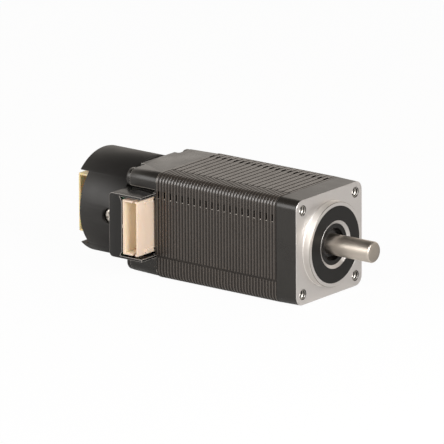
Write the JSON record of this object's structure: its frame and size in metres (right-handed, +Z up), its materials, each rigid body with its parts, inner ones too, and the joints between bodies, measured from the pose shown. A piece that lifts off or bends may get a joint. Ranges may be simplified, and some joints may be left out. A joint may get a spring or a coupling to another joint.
{
  "type": "stepper motor",
  "caption": "Square hybrid stepper motor with a ribbed laminated body, round pilot, plain output shaft and a rear encoder under a round cover, with two side connectors.",
  "frame": {"origin": "centre of the mounting face, on the shaft's axis", "axes": "+X along the output shaft, away from the motor; +Z up; the wiring connectors open to -Y"},
  "size_m": [0.0647, 0.0249, 0.0202],
  "materials": {
    "black_coat": "satin black baked coating on die-cast aluminium",
    "lamination": "black coated silicon steel",
    "shaft_steel": "ground stainless steel",
    "rotor_steel": "bare silicon steel",
    "magnet": "sintered magnet",
    "copper": "enamelled copper wire",
    "insulator": "moulded insulation",
    "bearing_steel": "polished bearing steel",
    "screw_steel": "plated screws",
    "connector_nylon": "natural nylon",
    "pin_tin": "tinned brass",
    "board": "glass-fibre board",
    "black_plastic": "matt black moulding",
    "cover_black": "satin black anodised shell",
    "disc": "encoder disc",
    "chip": "moulded sensor package"
  },
  "bodies": {
    "housing": {"front_flange": "black_coat", "stator_stack": "lamination", "front_insulator": "insulator", "rear_insulator": "insulator", "phase_a_coils": "copper", "phase_b_coils": "copper", "rear_bracket": "black_coat", "long_screws": "screw_steel", "front_bearing_outer": "bearing_steel", "rear_bearing_outer": "bearing_steel", "preload_washer": "screw_steel", "motor_connector": "connector_nylon", "motor_connector_pins": "pin_tin", "terminal_board": "board", "connector_cover": "black_plastic", "encoder_base": "black_plastic", "encoder_base_screws": "screw_steel", "encoder_board": "board", "encoder_sensor": "chip", "encoder_connector": "connector_nylon", "encoder_connector_pins": "pin_tin", "encoder_cover": "cover_black", "encoder_cover_screws": "screw_steel"},
    "rotor": {"shaft": "shaft_steel", "rotor_cup_front": "rotor_steel", "rotor_magnet": "magnet", "rotor_cup_rear": "rotor_steel", "front_bearing_inner": "bearing_steel", "rear_bearing_inner": "bearing_steel", "encoder_hub": "rotor_steel", "encoder_hub_screw": "screw_steel", "encoder_disc": "disc"}
  },
  "joints": [
    {"name": "shaft_spin", "type": "hinge", "parent": "housing", "child": "rotor", "pos_m": [0, 0, 0], "axis": [1, 0, 0], "continuous": true}
  ]
}
